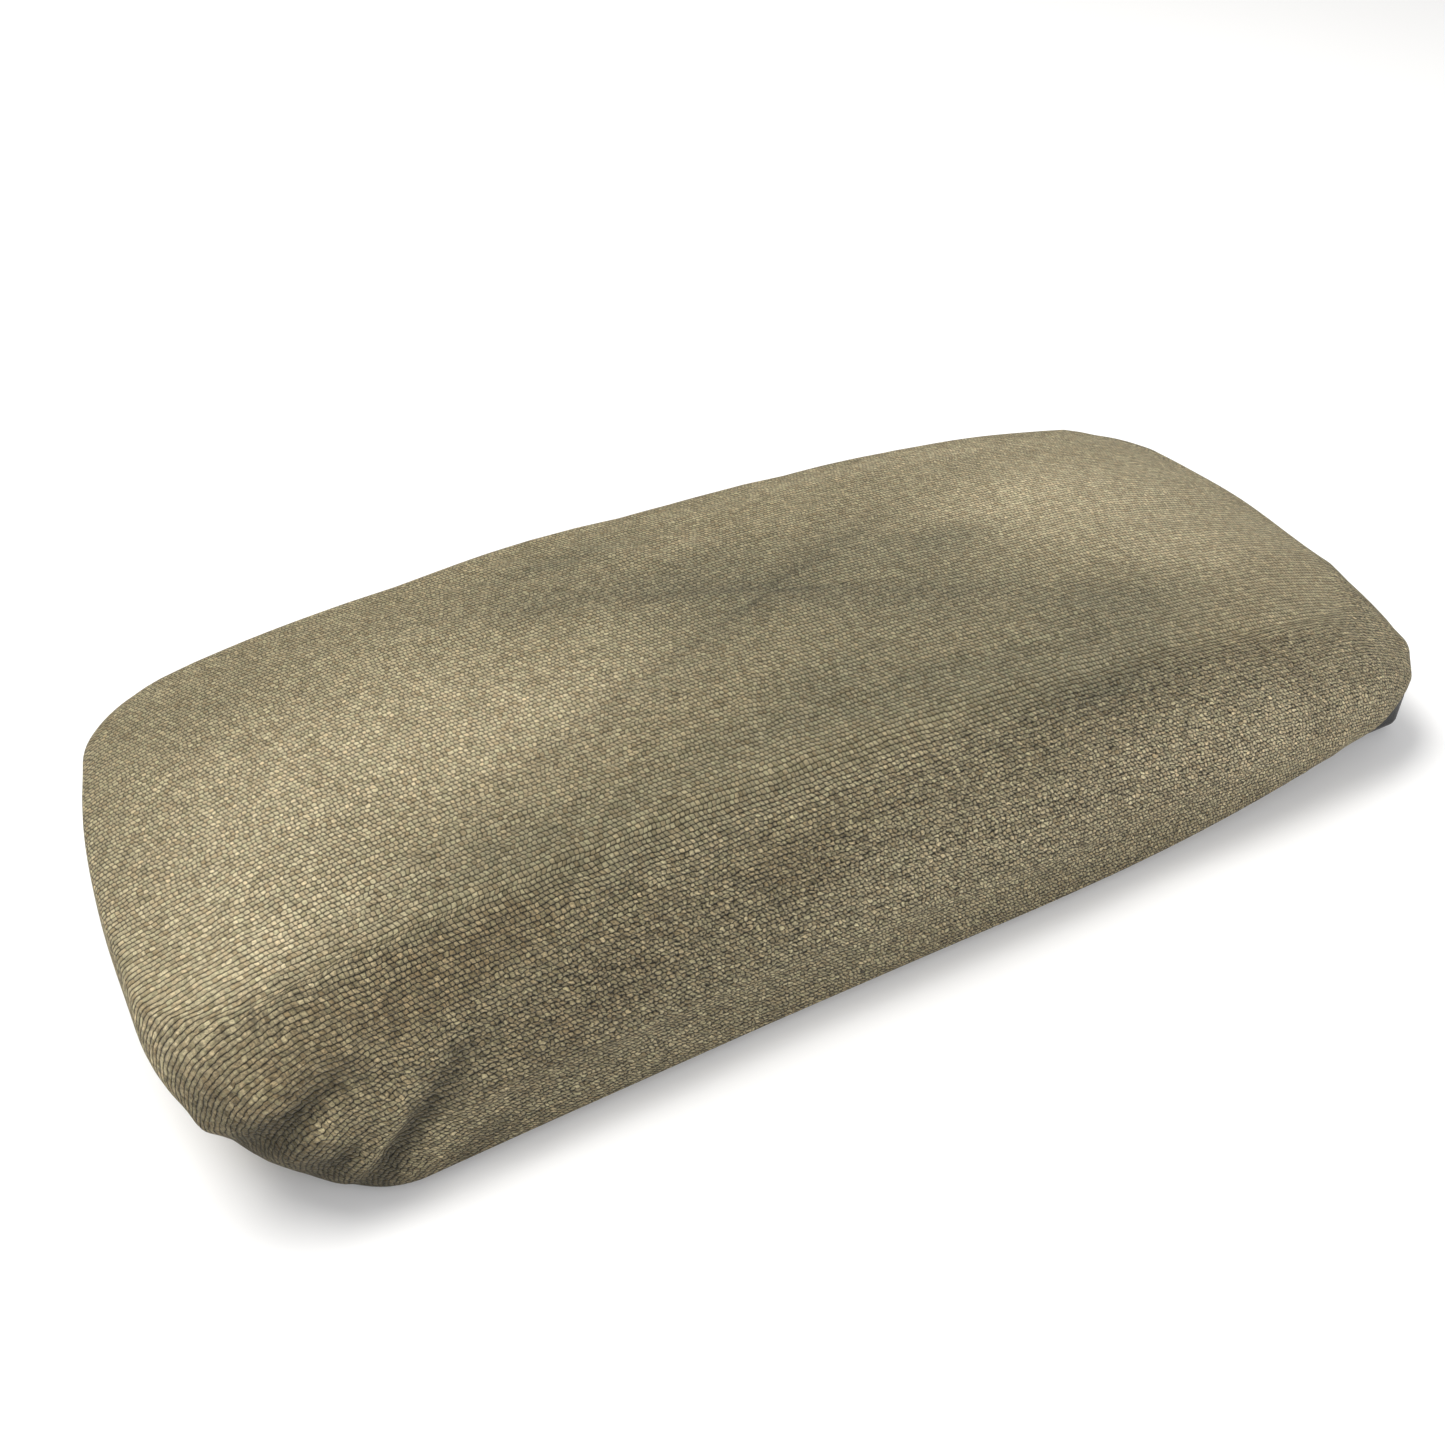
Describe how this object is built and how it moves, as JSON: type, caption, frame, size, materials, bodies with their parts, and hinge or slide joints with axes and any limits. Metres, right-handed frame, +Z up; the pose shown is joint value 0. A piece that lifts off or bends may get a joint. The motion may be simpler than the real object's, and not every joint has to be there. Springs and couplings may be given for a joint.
{
  "type": "console armrest lid",
  "caption": "Padded armrest lid for a car's centre console: knit cloth over foam on a plastic pan, with a rear hinge leaf and a front finger latch.",
  "frame": {"origin": "under the middle of the lid, on the plane its bump stops and the console hinge leaf rest on", "axes": "+X along the lid towards the hinge end, +Y across it, +Z up through the padded top"},
  "size_m": [0.3133, 0.146, 0.0572],
  "materials": {
    "knit_cloth": "matte",
    "foam": "matte",
    "pan_plastic": "matte",
    "panel_plastic": "satin",
    "zinc_steel": "satin",
    "spring_steel": "satin",
    "stop_rubber": "matte",
    "bush_nylon": "satin"
  },
  "bodies": {
    "console_side": {"hinge_console_leaf": "zinc_steel", "hinge_pin": "zinc_steel", "hinge_pin_clip": "spring_steel"},
    "lid": {"fabric_cover": "knit_cloth", "foam_pad": "foam", "pad_pan": "pan_plastic", "lower_panel": "panel_plastic", "hinge_lid_leaf": "zinc_steel", "hinge_bush_near": "bush_nylon", "hinge_bush_far": "bush_nylon", "latch_housing": "pan_plastic", "latch_pin": "zinc_steel", "latch_spring": "spring_steel", "hem_staple_01": "zinc_steel", "hem_staple_02": "zinc_steel", "hem_staple_03": "zinc_steel", "hem_staple_04": "zinc_steel", "hem_staple_05": "zinc_steel", "hem_staple_06": "zinc_steel", "hem_staple_07": "zinc_steel", "hem_staple_08": "zinc_steel", "hem_staple_09": "zinc_steel", "hem_staple_10": "zinc_steel", "hem_staple_11": "zinc_steel", "hem_staple_12": "zinc_steel", "hem_staple_13": "zinc_steel", "hem_staple_14": "zinc_steel", "hem_staple_15": "zinc_steel", "hem_staple_16": "zinc_steel", "panel_screw_1": "zinc_steel", "panel_screw_2": "zinc_steel", "panel_screw_3": "zinc_steel", "panel_screw_4": "zinc_steel", "panel_screw_5": "zinc_steel", "panel_screw_6": "zinc_steel", "hinge_screw_1": "zinc_steel", "hinge_screw_2": "zinc_steel", "hinge_screw_3": "zinc_steel", "latch_screw_1": "zinc_steel", "latch_screw_2": "zinc_steel", "bump_stop_1": "stop_rubber", "bump_stop_2": "stop_rubber", "bump_stop_3": "stop_rubber", "bump_stop_4": "stop_rubber"},
    "finger_lever": {"latch_lever": "panel_plastic"}
  },
  "joints": [
    {"name": "lid_hinge", "type": "hinge", "parent": "console_side", "child": "lid", "pos_m": [0.1525, 0, 0.006], "axis": [0, 1, 0], "range_deg": [0, 90]},
    {"name": "latch_pivot", "type": "hinge", "parent": "lid", "child": "finger_lever", "pos_m": [-0.107, 0, 0.0106], "axis": [0, 1, 0], "range_deg": [0, 10], "stiffness_Nm_per_rad": 0.25, "springref_deg": -20.05}
  ]
}
